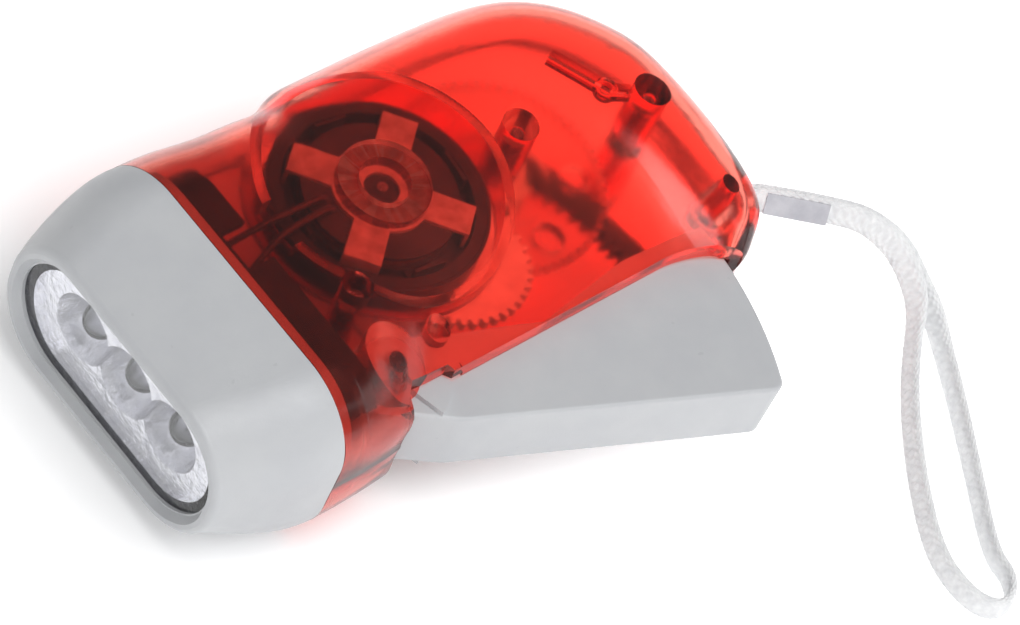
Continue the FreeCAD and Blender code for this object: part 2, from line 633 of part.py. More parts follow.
def lever_outline(inset, z_low, z_high):
    """Side outline of the lever when shut, set in by a wall from the underside and the rear."""
    grip_y = LOWER_EDGE_Y - LEVER_DROP + inset
    rear_r = LEVER_REAR_R - inset
    hub_r = HUB_TOP_R - inset
    rear_low_deg = math.degrees(math.asin((grip_y - PIVOT_Y) / rear_r))
    rear_top_deg = SQUEEZE_DEG - 2.0
    bend = (LEVER_BEND_X, grip_y)

    def pt(p):
        return V(p[0], p[1], z_low)

    rear_degs = (rear_top_deg, (rear_low_deg + rear_top_deg) / 2, rear_low_deg)
    rear = [pt(polar(PIVOT, rear_r, d)) for d in rear_degs]
    hub = [pt(polar(PIVOT, hub_r, d)) for d in (-80, 170, 80)]
    edges = [
        Part.Arc(*rear).toShape(),
        Part.LineSegment(rear[2], pt(bend)).toShape(),
        Part.LineSegment(pt(bend), hub[0]).toShape(),
        Part.Arc(*hub).toShape(),
        Part.LineSegment(hub[2], pt(LEVER_TOP[0])).toShape(),
        Part.LineSegment(pt(LEVER_TOP[0]), pt(LEVER_TOP[1])).toShape(),
        Part.LineSegment(pt(LEVER_TOP[1]), rear[0]).toShape(),
    ]
    block = Part.Face(Part.Wire(edges)).extrude(V(0, 0, z_high - z_low))
    rounded = block.makeFillet(LEVER_CORNER_R - inset / 2, upright_edges(block, rear[2].x))
    return rounded.makeFillet(LEVER_BEND_R, upright_edges(rounded, bend[0]))


def lever():
    """Hollow squeeze lever with hub discs, bored barrel and the toothed sector."""
    half = LEVER_HALF_WIDTH
    outside = lever_outline(0, -half, half)
    inside_half = half - LEVER_WALL
    channel = lever_outline(LEVER_FLOOR, -inside_half, inside_half)
    (front_x, front_y), (back_x, back_y) = LEVER_TOP
    rear_x = PIVOT_X + LEVER_REAR_R - 5.0
    open_outline = [(20, -15.0), (40, -14.0), (front_x, front_y - 1.0), (back_x, back_y - 1.0)]
    open_outline += [(rear_x, 0), (rear_x, 20), (20, 20)]
    open_top = prism(open_outline, -inside_half, inside_half)
    spring_room = cylinder(PIVOT, HUB_TOP_R - 0.8, -inside_half, inside_half)
    leg_room = prism([PIVOT, polar(PIVOT, 12, 15), polar(PIVOT, 12, 100)], -inside_half, inside_half)
    low_edges = [e for e in outside.Edges
                 if e.BoundBox.YMax < LOWER_EDGE_Y - 1.0 and e.BoundBox.ZLength < 0.01]
    body = outside.makeFillet(0.5, low_edges).cut([channel, open_top, spring_room, leg_room])
    disc = lever_outline(0, -half - HUB_RAISE, half + HUB_RAISE).common(
        cylinder(PIVOT, HUB_DISC_R, -half - HUB_RAISE, half + HUB_RAISE))
    disc = disc.cut(box(0, 60, -60, 0, -half, half))
    barrel = cylinder(PIVOT, HUB_BARREL_R, -half, half)
    web = tube(PIVOT, LEVER_REAR_R - 1, RACK_BACK_R - 1, RACK_LOW_Z, RACK_LOW_Z + 1.4)
    web = web.common(prism([PIVOT, polar(PIVOT, 80, -7), polar(PIVOT, 80, SQUEEZE_DEG - 3)], -10, 10))
    body = body.fuse([disc, barrel, web])
    wheel_r = GEAR_MODULE * DRIVE_TEETH / 2
    gear_room = cylinder(DRIVE_AXIS, wheel_r + 1.0, DRIVE_LOW_Z - PIECE_GAP, DRIVE_HIGH_Z + PIECE_GAP)
    body = rotated(body.cut(gear_room), PIVOT, -SQUEEZE_DEG)
    trimmed = prism(HUB_TRIM, half, half + 1)
    body = body.cut([trimmed, trimmed.mirror(V(0, 0, 0), Z_AXIS)])
    body = body.fuse(rack_sector())
    return body.cut(cylinder(PIVOT, PIVOT_PIN_R + RUN_FIT, -10, 10)).removeSplitter()


def input_pinion():
    """Pinion driven by the rack, with the saw-toothed wheel of the one-way clutch."""
    teeth = gear(DRIVE_AXIS, PINION_TEETH, RACK_MODULE, PINION_ADDENDUM, WHEEL_ADDENDUM + ROOT_CLEARANCE,
                 PINION_PHASE, PINION_LOW_Z, DRIVE_LOW_Z - PIECE_GAP)
    saw = []
    for k in range(SAW_COUNT):
        start = 360.0 * k / SAW_COUNT
        saw.append(polar(DRIVE_AXIS, SAW_LOW_R, start))
        saw.append(polar(DRIVE_AXIS, SAW_HIGH_R, start + 360.0 / SAW_COUNT - 4.0))
    wheel = prism(saw, DRIVE_LOW_Z - PIECE_GAP, DRIVE_HIGH_Z - 0.7)
    return teeth.fuse(wheel).cut(cylinder(DRIVE_AXIS, DRIVE_PIN_R + RUN_FIT, -20, 20)).removeSplitter()


def drive_gear():
    """Large wheel with a clutch recess, lightening holes and a hub."""
    body = gear(DRIVE_AXIS, DRIVE_TEETH, GEAR_MODULE, WHEEL_ADDENDUM, PINION_ADDENDUM + ROOT_CLEARANCE,
                DRIVE_PHASE, DRIVE_LOW_Z, DRIVE_HIGH_Z)
    recess = cylinder(DRIVE_AXIS, CLUTCH_R, DRIVE_LOW_Z - 1, DRIVE_HIGH_Z - CLUTCH_ROOF)
    body = body.cut(recess).cut(cylinder(DRIVE_AXIS, DRIVE_PIN_R + RUN_FIT, -20, 20))
    for k in range(6):
        hole_at = polar(DRIVE_AXIS, 11.0, 60.0 * k + 30.0)
        body = body.cut(cylinder(hole_at, 2.2, -10, 10))
    return body


def clutch_pawl():
    """Springy pawl that rides in the wheel's recess and catches the saw teeth."""
    z_low, z_high = DRIVE_LOW_Z + 0.05, DRIVE_HIGH_Z - CLUTCH_ROOF - 0.15
    foot = (40, 75, 110)
    foot_r = CLUTCH_R - RUN_FIT
    tip_r = SAW_HIGH_R + 0.25
    outer = [polar(DRIVE_AXIS, foot_r, d) for d in foot]
    tip = polar(DRIVE_AXIS, tip_r, 215)
    tip_in = polar(DRIVE_AXIS, tip_r - 0.15, 205)
    mid_out = polar(DRIVE_AXIS, foot_r - 0.75, 165)
    mid_in = polar(DRIVE_AXIS, foot_r - PAWL_THICK - 0.4, 155)
    inner = [polar(DRIVE_AXIS, foot_r - PAWL_THICK, d) for d in reversed(foot)]

    def pt(p):
        return V(p[0], p[1], z_low)

    edges = [
        Part.Arc(pt(outer[0]), pt(outer[1]), pt(outer[2])).toShape(),
        Part.Arc(pt(outer[2]), pt(mid_out), pt(tip)).toShape(),
        Part.LineSegment(pt(tip), pt(tip_in)).toShape(),
        Part.Arc(pt(tip_in), pt(mid_in), pt(inner[0])).toShape(),
        Part.Arc(pt(inner[0]), pt(inner[1]), pt(inner[2])).toShape(),
        Part.LineSegment(pt(inner[2]), pt(outer[0])).toShape(),
    ]
    return Part.Face(Part.Wire(edges)).extrude(V(0, 0, z_high - z_low))


def idler_gear():
    """Compound gear: small pinion below, wheel above."""
    low = gear(IDLER_AXIS, IDLER_PINION_TEETH, GEAR_MODULE, PINION_ADDENDUM, WHEEL_ADDENDUM + ROOT_CLEARANCE,
               IDLER_PHASE, DRIVE_LOW_Z, WHEEL_LOW_Z)
    high = gear(IDLER_AXIS, IDLER_WHEEL_TEETH, GEAR_MODULE, WHEEL_ADDENDUM,
                PINION_ADDENDUM + ROOT_CLEARANCE, IDLER_PHASE, WHEEL_LOW_Z, WHEEL_HIGH_Z)
    return low.fuse(high).cut(cylinder(IDLER_AXIS, SMALL_PIN_R + RUN_FIT, -20, 20)).removeSplitter()


# Generator
def rotor_wheel():
    """Flywheel cup with its moulded pinion."""
    pinion = gear(ROTOR_AXIS, ROTOR_PINION_TEETH, GEAR_MODULE, PINION_ADDENDUM,
                  WHEEL_ADDENDUM + ROOT_CLEARANCE, ROTOR_PHASE, ROTOR_PINION_LOW_Z, ROTOR_FLOOR_Z)
    floor = cylinder(ROTOR_AXIS, ROTOR_R, ROTOR_FLOOR_Z, ROTOR_FLOOR_Z + ROTOR_FLOOR_THICK)
    rim = tube(ROTOR_AXIS, ROTOR_R, MAGNET_R, ROTOR_FLOOR_Z, MAGNET_HIGH_Z)
    wheel = pinion.fuse([floor, rim]).cut(cylinder(ROTOR_AXIS, SMALL_PIN_R + RUN_FIT, -20, 20))
    return wheel.removeSplitter()


def ring_magnet():
    """Ring magnet glued inside the cup."""
    floor_top = ROTOR_FLOOR_Z + ROTOR_FLOOR_THICK
    return tube(ROTOR_AXIS, MAGNET_R - RUN_FIT, MAGNET_INNER_R, floor_top, MAGNET_HIGH_Z)


def claw_plate(z_low, claw_low, claw_high, turn, bore_r):
    """Pressed pole plate: four arms, tips bent along the coil."""
    hub = cylinder(ROTOR_AXIS, BOSS_RING_R + 0.4, z_low, z_low + PLATE_THICK)
    pieces = []
    for k in range(ARM_COUNT):
        arm = box(0, ARM_REACH, -ARM_WIDTH / 2, ARM_WIDTH / 2, z_low, z_low + PLATE_THICK)
        claw = box(ARM_REACH - PLATE_THICK, ARM_REACH, -ARM_WIDTH / 2, ARM_WIDTH / 2, claw_low, claw_high)
        both = arm.fuse(claw)
        both.rotate(V(0, 0, 0), Z_AXIS, turn + 360.0 * k / ARM_COUNT)
        both.translate(V(ROTOR_AXIS[0], ROTOR_AXIS[1], 0))
        pieces.append(both)
    plate = hub.fuse(pieces)
    return plate.cut(cylinder(ROTOR_AXIS, bore_r, -20, 40)).removeSplitter()


FAR_PLATE_Z = ROTOR_FLOOR_Z + ROTOR_FLOOR_THICK + PIECE_GAP


def stator_plate_near():
    """Pole plate seen through the shell."""
    return claw_plate(NEAR_PLATE_Z, FAR_PLATE_Z + 0.9, NEAR_PLATE_Z + PLATE_THICK, ARM_TURN_DEG, PLATE_BORE_R)


def stator_plate_far():
    """Pole plate on the rotor's floor side, its claws between the others."""
    return claw_plate(FAR_PLATE_Z, FAR_PLATE_Z, NEAR_PLATE_Z - 0.4, ARM_TURN_DEG + 45.0, SMALL_PIN_R)


BOBBIN_LOW_Z = FAR_PLATE_Z + PLATE_THICK
BOBBIN_HIGH_Z = NEAR_PLATE_Z


def coil_bobbin():
    """Spool of the coil."""
    core = cylinder(ROTOR_AXIS, BOBBIN_CORE_R, BOBBIN_LOW_Z, BOBBIN_HIGH_Z)
    low = cylinder(ROTOR_AXIS, BOBBIN_R, BOBBIN_LOW_Z, BOBBIN_LOW_Z + BOBBIN_FLANGE)
    high = cylinder(ROTOR_AXIS, BOBBIN_R, BOBBIN_HIGH_Z - BOBBIN_FLANGE, BOBBIN_HIGH_Z)
    return core.fuse([low, high]).cut(cylinder(ROTOR_AXIS, SMALL_PIN_R, -20, 40)).removeSplitter()


def coil_winding():
    """Outer form of the fine enamelled winding."""
    z_low, z_high = BOBBIN_LOW_Z + BOBBIN_FLANGE, BOBBIN_HIGH_Z - BOBBIN_FLANGE
    return tube(ROTOR_AXIS, BOBBIN_R - 0.6, BOBBIN_CORE_R, z_low, z_high)


# Pins, screws and spring
def pivot_pin():
    """Steel pin of the lever."""
    return cylinder(PIVOT, PIVOT_PIN_R, -PIVOT_PIN_REACH, PIVOT_PIN_REACH)


def gear_pin():
    """Pin of the large wheel and its pinion."""
    return cylinder(DRIVE_AXIS, DRIVE_PIN_R, -PIN_REACH, PIN_REACH - 1.0)


def idler_pin():
    """Short pin of the compound gear, carried by the far shell."""
    return cylinder(IDLER_AXIS, SMALL_PIN_R, -PIN_REACH, WHEEL_HIGH_Z + 0.6)


def rotor_axle():
    """Still axle of the generator, from the far shell to the near pole plate."""
    return cylinder(ROTOR_AXIS, SMALL_PIN_R, -PIN_REACH, NEAR_PLATE_Z + PLATE_THICK + 0.3)


def case_screws():
    """Two cross-head screws, driven in from the far side."""
    solids = []
    seat = -(HALF_THICK - WALL - SCREW_HEAD_DEPTH)
    for centre in (SCREW_TAIL, SCREW_HEAD_END):
        shank = cylinder(centre, SCREW_R - SEAT_GAP, seat, SCREW_TIP_Z)
        head = cylinder(centre, SCREW_HEAD_R, seat - SCREW_HEAD_DEPTH, seat)
        screw = shank.fuse(head)
        for reach_x, reach_y in ((SLOT_REACH, SLOT_HALF_WIDTH), (SLOT_HALF_WIDTH, SLOT_REACH)):
            screw = screw.cut(box(centre[0] - reach_x, centre[0] + reach_x, centre[1] - reach_y,
                                  centre[1] + reach_y, seat - 3, seat - SCREW_HEAD_DEPTH + SLOT_DEPTH))
        solids.append(screw.removeSplitter())
    return Part.makeCompound(solids)


def round_path(points, share=0.45):
    """Straight runs joined by tangent arcs through hand-chosen points; returns wire and radii."""
    edges = []
    radii = []
    last = points[0]
    for a, b, c in zip(points, points[1:], points[2:]):
        u = (b - a).normalize()
        w = (c - b).normalize()
        turn = u.getAngle(w)
        cut = share * min((b - a).Length, (c - b).Length)
        radius = cut / math.tan(turn / 2)
        radii.append(radius)
        start = b - u * cut
        end = b + w * cut
        middle_dir = (w - u).normalize()
        centre = b + middle_dir * (radius / math.cos(turn / 2))
        middle = centre - middle_dir * radius
        edges.append(Part.LineSegment(last, start).toShape())
        edges.append(Part.Arc(start, middle, end).toShape())
        last = end
    edges.append(Part.LineSegment(last, points[-1]).toShape())
    return Part.Wire(edges), radii


def swept_tube(points, radius, name, share=0.45):
    """Round tube along a path of runs and arcs, with its radii and volume printed."""
    path, radii = round_path(points, share)
    first = (points[1] - points[0]).normalize()
    ring = Part.Wire([Part.Circle(points[0], first, radius).toShape()])
    solid = path.makePipeShell([ring], True, False)
    expected = math.pi * radius ** 2 * path.Length
    print(name, "radii", [round(r, 1) for r in radii], "length", round(path.Length, 1),
          "volume ratio", round(solid.Volume / expected, 3))
    return solid


def lever_spring():
    """Torsion spring on the lever's barrel: its turns and two straight legs, one against a screw post."""
    turn_deg = 360.0 * SPRING_TURNS + SPRING_END_DEG - SPRING_START_DEG
    count = 4 * SPRING_TURNS
    edges = []

    def at(step):
        degrees = SPRING_START_DEG + turn_deg * step / count
        z = SPRING_LOW_Z + SPRING_PITCH * turn_deg / 360.0 * step / count
        return V(*polar(PIVOT, SPRING_MEAN_R, degrees), z)

    first_dir = V(*polar((0, 0), 1, SPRING_START_DEG + 90.0), 0)
    last_dir = V(*polar((0, 0), 1, SPRING_END_DEG + 90.0), 0)
    begin = at(0) - first_dir * SPRING_LEVER_LEG
    edges.append(Part.LineSegment(begin, at(0)).toShape())
    for k in range(count):
        edges.append(Part.Arc(at(k), at(k + 0.5), at(k + 1)).toShape())
    edges.append(Part.LineSegment(at(count), at(count) + last_dir * SPRING_CASE_LEG).toShape())
    ring = Part.Wire([Part.Circle(begin, first_dir, SPRING_WIRE_R).toShape()])
    print("lever_spring least gap between turns", round(SPRING_PITCH - 2 * SPRING_WIRE_R, 2))
    return Part.Wire(edges).makePipeShell([ring], True, False)


def lamp_holder():
    """Dark inner frame behind the lamp board, cut away for the lever and the leads."""
    inset = WALL + SPIGOT_GAP + SPIGOT_WALL + PIECE_GAP
    front = BOARD_FRONT_X + BOARD_THICK + SEAT_GAP
    frame = collar_block(front, HOLDER_END_X, inset)
    frame = frame.cut(collar_block(front + HOLDER_WEB, HOLDER_END_X + 1, inset + HOLDER_WALL))
    window = stadium(HOLDER_WINDOW, HOLDER_WINDOW / 2, front - 1, front + HOLDER_WEB + 1)
    lever_room = box(HOLDER_LEVER_X, HOLDER_END_X + 1, -40, -8, -HOLDER_LEVER_Z, HOLDER_LEVER_Z)
    lead_y = ROTOR_AXIS[1] + 1.2
    lead_room = box(HOLDER_END_X - 4, HOLDER_END_X + 1, lead_y - 3, lead_y + 3, 7, 20)
    return frame.cut([window, lever_room, lead_room])


def lead_wires():
    """Two insulated leads from the board to the coil, through the neck."""
    solids = []
    back = BOARD_FRONT_X + BOARD_THICK
    for offset in (-0.9, 0.9):
        y = ROTOR_AXIS[1] + 1.2 + offset
        points = [
            V(back, y + 2.5 * offset, 5.0), V(17.5, y + 2.5 * offset, 5.2), V(21.5, y + 1.4 * offset, 8.6),
            V(25.5, y + 0.3 * offset, 11.3), V(31.0, y, 11.6), V(33.6, y, 11.5),
            V(34.8, y, BOBBIN_HIGH_Z + 0.4),
        ]
        solids.append(swept_tube(points, WIRE_R, "lead_wire", 0.4))
    return Part.makeCompound(solids)


# Strap and its crimp
CRIMP_START = (98.33, -18.34, 0.0)
CRIMP_DIRECTION = (0.7646, -0.6445, 0.0)
CRIMP_LENGTH = 9.0
CRIMP_LEAN_DEG = 35.0
CRIMP_HALF_WIDTH = 1.35
CRIMP_LOW = -1.65
CRIMP_HIGH = 1.3
CRIMP_WALL = 0.3
FLOOR_Z = -HALF_THICK
STRAP_REST_Z = FLOOR_Z + STRAP_R
STRAP_POINTS = [
    (86.0, -17.1, 0.30), (86.0, -15.0, 0.35), (89.6, -15.0, 0.40), (93.2, -15.5, 0.60),
    (96.9, -16.2, 0.99), (107.6, -25.2, 0.99), (110.8, -28.4, 0.19), (113.8, -32.8, -2.44),
    (114.8, -37.6, -6.23), (115.1, -41.2, -8.80), (114.5, -45.7, -11.80), (111.7, -52.5, STRAP_REST_Z),
    (105.9, -62.7, STRAP_REST_Z), (99.5, -73.8, STRAP_REST_Z), (98.6, -78.2, STRAP_REST_Z),
    (95.6, -81.3, STRAP_REST_Z), (92.0, -80.6, STRAP_REST_Z), (89.9, -76.4, STRAP_REST_Z),
    (91.3, -69.1, STRAP_REST_Z), (97.4, -59.0, STRAP_REST_Z), (105.3, -49.0, STRAP_REST_Z),
    (110.4, -43.2, -11.60), (112.8, -40.3, -8.90), (113.1, -37.6, -6.57), (112.3, -32.9, -3.16),
    (109.7, -28.8, -0.99), (107.0, -26.0, -0.37), (96.3, -16.9, -0.37), (93.0, -18.7, -0.05),
    (89.8, -19.5, 0.00), (86.0, -19.5, 0.05), (86.0, -17.4, 0.10),
]


def strap():
    """Braided wrist strap as a plain tube along its route."""
    return swept_tube([V(*p) for p in STRAP_POINTS], STRAP_R, "strap")


def strap_crimp():
    """Pressed metal channel that holds both runs of the strap together, leaning, open along its top."""
    lean = math.radians(CRIMP_LEAN_DEG)
    along = V(*CRIMP_DIRECTION).normalize()
    level = Z_AXIS.cross(along)
    up = Z_AXIS * math.cos(lean) + level * math.sin(lean)
    across = along.cross(up)
    start = V(*CRIMP_START)

    def outline(width, low, high):
        corners = ((-width, low), (width, low), (width, high), (-width, high), (-width, low))
        return Part.makePolygon([start + across * a + up * b for a, b in corners])

    band = Part.Face(outline(CRIMP_HALF_WIDTH, CRIMP_LOW, CRIMP_HIGH)).extrude(along * CRIMP_LENGTH)
    inside = outline(CRIMP_HALF_WIDTH - CRIMP_WALL, CRIMP_LOW + CRIMP_WALL, CRIMP_HIGH + 1)
    return band.cut(Part.Face(inside).extrude(along * CRIMP_LENGTH))


PARTS = {
    "left_shell": left_shell, "right_shell": right_shell, "head_cap": head_cap, "lens": lens,
    "reflector": reflector, "leds": leds, "led_board": led_board, "lamp_holder": lamp_holder,
    "lead_wires": lead_wires, "lever": lever, "pivot_pin": pivot_pin, "lever_spring": lever_spring,
    "input_pinion": input_pinion, "clutch_pawl": clutch_pawl, "drive_gear": drive_gear,
    "gear_pin": gear_pin, "idler_gear": idler_gear,
    "idler_pin": idler_pin, "rotor_wheel": rotor_wheel, "ring_magnet": ring_magnet, "rotor_axle": rotor_axle,
    "stator_plate_near": stator_plate_near, "stator_plate_far": stator_plate_far, "coil_bobbin": coil_bobbin,
    "coil_winding": coil_winding, "case_screws": case_screws, "strap": strap, "strap_crimp": strap_crimp,
}
CORD_PARTS = ("strap", "strap_crimp")


def main():
    os.makedirs("parts", exist_ok=True)
    shapes = {name: build() for name, build in PARTS.items()}
    rigid = Part.makeCompound([s for name, s in shapes.items() if name not in CORD_PARTS])
    bounds = rigid.optimalBoundingBox(False)
    move = V(-(bounds.XMin + bounds.XMax) / 2, -(bounds.YMin + bounds.YMax) / 2, -bounds.ZMin)
    print("moved by", round(move.x, 4), round(move.y, 4), round(move.z, 4))
    for name, shape in shapes.items():
        shape.translate(move)
        shape.exportStep("parts/" + name + ".step")
        print(name, "solids", len(shape.Solids), "valid", shape.isValid(), "volume", round(shape.Volume, 1))
    axes = {"pivot": PIVOT, "drive": DRIVE_AXIS, "idler": IDLER_AXIS, "rotor": ROTOR_AXIS}
    for name, axis in axes.items():
        print("axis", name, round(axis[0] + move.x, 4), round(axis[1] + move.y, 4))


main()
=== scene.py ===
"""Looks for the squeeze-lever dynamo torch: camera, wrist strap, spring, materials, floor and light."""
import math

import bmesh
import bpy
from mathutils import Matrix, Vector


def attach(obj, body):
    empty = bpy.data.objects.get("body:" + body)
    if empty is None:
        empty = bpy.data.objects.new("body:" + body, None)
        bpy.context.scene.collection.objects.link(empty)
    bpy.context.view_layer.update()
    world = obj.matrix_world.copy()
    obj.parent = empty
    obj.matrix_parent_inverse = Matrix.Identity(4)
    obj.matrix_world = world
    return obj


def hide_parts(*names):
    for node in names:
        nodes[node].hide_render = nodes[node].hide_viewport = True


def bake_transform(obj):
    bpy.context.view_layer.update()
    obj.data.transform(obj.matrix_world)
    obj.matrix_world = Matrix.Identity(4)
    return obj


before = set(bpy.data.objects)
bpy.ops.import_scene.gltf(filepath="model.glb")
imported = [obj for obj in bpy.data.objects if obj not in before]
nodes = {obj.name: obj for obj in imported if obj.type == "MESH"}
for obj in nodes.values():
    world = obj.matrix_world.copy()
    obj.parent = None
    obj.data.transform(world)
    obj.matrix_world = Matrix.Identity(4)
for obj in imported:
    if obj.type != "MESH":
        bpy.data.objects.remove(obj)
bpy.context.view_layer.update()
scene = bpy.context.scene

MM = 0.001
PARTING_Z = 0.0144031
PIVOT = (-0.0186154, -0.007589)


# Camera at the photograph's viewing angle
CAMERA_PLACE = (-0.323237, -0.177722, 0.460571)
CAMERA_RIGHT = (0.72657286, -0.61844538, 0.29936131)
CAMERA_UP = (0.38610719, 0.72789922, 0.56664271)
CAMERA_BACK = (-0.56834243, -0.29612166, 0.76765802)
LENS_MM = 159.125
SENSOR_MM = 36.0
CLIP = (0.01, 20.0)


def make_camera():
    data = bpy.data.cameras.new("camera")
    data.lens = LENS_MM
    data.sensor_fit = "HORIZONTAL"
    data.sensor_width = SENSOR_MM
    data.clip_start, data.clip_end = CLIP
    camera = bpy.data.objects.new("camera", data)
    turn = Matrix((CAMERA_RIGHT, CAMERA_UP, CAMERA_BACK)).transposed()
    camera.matrix_world = Matrix.Translation(CAMERA_PLACE) @ turn.to_4x4()
    scene.collection.objects.link(camera)
    scene.camera = camera


make_camera()


# Wrist strap: control points of its route in metres
STRAP_ROUTE = [
    (0.03931, -0.00716, 0.01500), (0.03931, -0.00501, 0.01500), (0.04291, -0.00501, 0.01500),
    (0.04651, -0.00551, 0.01510), (0.05012, -0.00627, 0.01434), (0.06083, -0.01530, 0.01434),
    (0.06384, -0.01828, 0.01372), (0.06684, -0.02260, 0.01146), (0.06779, -0.02747, 0.00796),
    (0.06839, -0.03119, 0.00560), (0.06778, -0.03566, 0.00260), (0.06419, -0.04279, 0.00180),
    (0.05794, -0.05270, 0.00180), (0.05106, -0.06336, 0.00180), (0.05091, -0.06741, 0.00180),
    (0.04821, -0.07031, 0.00180), (0.04511, -0.07001, 0.00180), (0.04321, -0.06641, 0.00180),
    (0.04386, -0.05934, 0.00180), (0.04994, -0.04928, 0.00180), (0.05783, -0.03935, 0.00180),
    (0.06370, -0.03326, 0.00280), (0.06609, -0.03027, 0.00550), (0.06676, -0.02773, 0.00805),
    (0.06598, -0.02315, 0.01175), (0.06327, -0.01898, 0.01428), (0.06027, -0.01596, 0.01495),
    (0.04956, -0.00694, 0.01495), (0.04631, -0.00871, 0.01510), (0.04311, -0.00951, 0.01500),
    (0.03931, -0.00951, 0.01500), (0.03931, -0.00736, 0.01500),
]
STRAP_SPACING = 0.16 * MM
ROUTE_SAMPLES = 24
TANGENT_REACH = 3
RING_SIDES = 64
RING_POWERS = (0.55, 0.75)
YARNS_AROUND = 10
BRAID_STEP = 1.35 * MM
BRAID_RELIEF = 0.22 * MM
BRAID_MEAN = 0.6


def spline_points(route, samples):
    """Points along the NURBS line of a route."""
    curve = bpy.data.curves.new("route", "CURVE")
    curve.dimensions = "3D"
    curve.resolution_u = samples
    line = curve.splines.new("NURBS")
    line.points.add(len(route) - 1)
    for point, place in zip(line.points, route):
        point.co = (*place, 1.0)
    line.order_u = 3
    line.use_endpoint_u = True
    holder = bpy.data.objects.new("route", curve)
    scene.collection.objects.link(holder)
    bpy.context.view_layer.update()
    made = bpy.data.meshes.new_from_object(holder.evaluated_get(bpy.context.evaluated_depsgraph_get()))
    points = [v.co.copy() for v in made.vertices]
    bpy.data.meshes.remove(made)
    bpy.data.objects.remove(holder)
    bpy.data.curves.remove(curve)
    return points


def smooth_step(value, low, high):
    t = min(1.0, max(0.0, (value - low) / (high - low)))
    return t * t * (3 - 2 * t)


def even_points(points, spacing):
    """The same line with points at an even spacing, and the distance along it of each."""
    runs = [0.0]
    for a, b in zip(points, points[1:]):
        runs.append(runs[-1] + (b - a).length)
    count = int(runs[-1] / spacing)
    out, k = [], 0
    for i in range(count + 1):
        s = runs[-1] * i / count
        while k < len(runs) - 2 and runs[k + 1] < s:
            k += 1
        t = (s - runs[k]) / max(1e-12, runs[k + 1] - runs[k])
        out.append((points[k].lerp(points[k + 1], t), s))
    return out, runs[-1]


def braid_height(along, around):
    """Height of two sets of yarns that cross over and under each other, from 0 to 1."""
    a, b = along + around, along - around
    cell_a, cell_b = math.floor(a), math.floor(b)
    u, v = a - cell_a - 0.5, b - cell_b - 0.5
    if (cell_a + cell_b) % 2:
        u, v = v, u
    return math.cos(math.pi * v) ** 0.7 * (0.35 + 0.65 * math.cos(math.pi * u))


# Share of the strap's length, the lean of its wide side in degrees from upright, width and thickness in mm
STRAP_SHAPE = (
    (0.0, 0, 2.9, 0.86), (0.05, 0, 2.9, 0.86), (0.078, -35, 3.3, 0.92), (0.125, -35, 3.4, 0.95),
    (0.19, -26, 3.8, 1.1), (0.27, -12, 3.8, 1.15), (0.42, -6, 3.7, 1.15), (0.50, 8, 3.7, 1.15),
    (0.62, 14, 3.7, 1.15), (0.74, 14, 3.7, 1.15), (0.82, 26, 3.8, 1.1), (0.875, 35, 3.4, 0.95),
    (0.93, 35, 3.3, 0.92),
    (0.955, 0, 2.9, 0.86), (1.0, 0, 2.9, 0.86),
)


def strap_shape(share):
    """Lean, width and thickness at a share of the strap's length."""
    for low, high in zip(STRAP_SHAPE, STRAP_SHAPE[1:]):
        if share <= high[0]:
            t = smooth_step(share, low[0], high[0])
            return [a + (b - a) * t for a, b in zip(low[1:], high[1:])]
    return STRAP_SHAPE[-1][1:]


def make_strap():
    """The strap as a flat braid whose rings of points follow the route."""
    line, length = even_points(spline_points(STRAP_ROUTE, ROUTE_SAMPLES), STRAP_SPACING)
    sides = RING_SIDES
    verts, faces = [], []
    count = len(line)
    for i, (place, s) in enumerate(line):
        ahead = line[min(i + TANGENT_REACH, count - 1)][0]
        behind = line[max(i - TANGENT_REACH, 0)][0]
        tangent = (ahead - behind).normalized()
        up = Vector((0, 0, 1))
        up = (up - tangent * up.dot(tangent)).normalized()
        side = tangent.cross(up)
        lean, width, thick = strap_shape(s / length)
        lean = math.radians(lean)
        wide = up * math.cos(lean) + side * math.sin(lean)
        thin = side * math.cos(lean) - up * math.sin(lean)
        for j in range(sides):
            angle = 2 * math.pi * j / sides
            c, n = math.cos(angle), math.sin(angle)
            x = math.copysign(abs(c) ** RING_POWERS[0], c) * width / 2 * MM
            y = math.copysign(abs(n) ** RING_POWERS[1], n) * thick / 2 * MM
            lift = braid_height(s / BRAID_STEP, j / sides * YARNS_AROUND)
            out = (wide * c + thin * n).normalized()
            verts.append(place + wide * x + thin * y + out * (lift - BRAID_MEAN) * BRAID_RELIEF)
    for i in range(count - 1):
        for j in range(sides):
            a, b = i * sides + j, i * sides + (j + 1) % sides
            faces.append((a, b, b + sides, a + sides))
    faces.append(tuple(range(sides))[::-1])
    faces.append(tuple((count - 1) * sides + j for j in range(sides)))
    mesh = bpy.data.meshes.new("strap_braid")
    mesh.from_pydata([tuple(v) for v in verts], [], faces)
    for polygon in mesh.polygons:
        polygon.use_smooth = True
    mesh.update()
    piece = bpy.data.objects.new("strap_braid", mesh)
    scene.collection.objects.link(piece)
    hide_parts("strap")
    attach(piece, "case")
    return piece


strap_piece = make_strap()


# Materials
def add_node(tree, kind, sockets=None, **settings):
    node = tree.nodes.new("ShaderNode" + kind)
    for name, value in settings.items():
        setattr(node, name, value)
    for name, value in (sockets or {}).items():
        socket = node.inputs[name]
        if isinstance(value, bpy.types.NodeSocket):
            tree.links.new(value, socket)
        else:
            socket.default_value = value
    return node


def new_material(name):
    material = bpy.data.materials.new(name)
    material.use_nodes = True
    tree = material.node_tree
    tree.nodes.clear()
    place = add_node(tree, "TexCoord").outputs["Object"]
    return material, tree, place


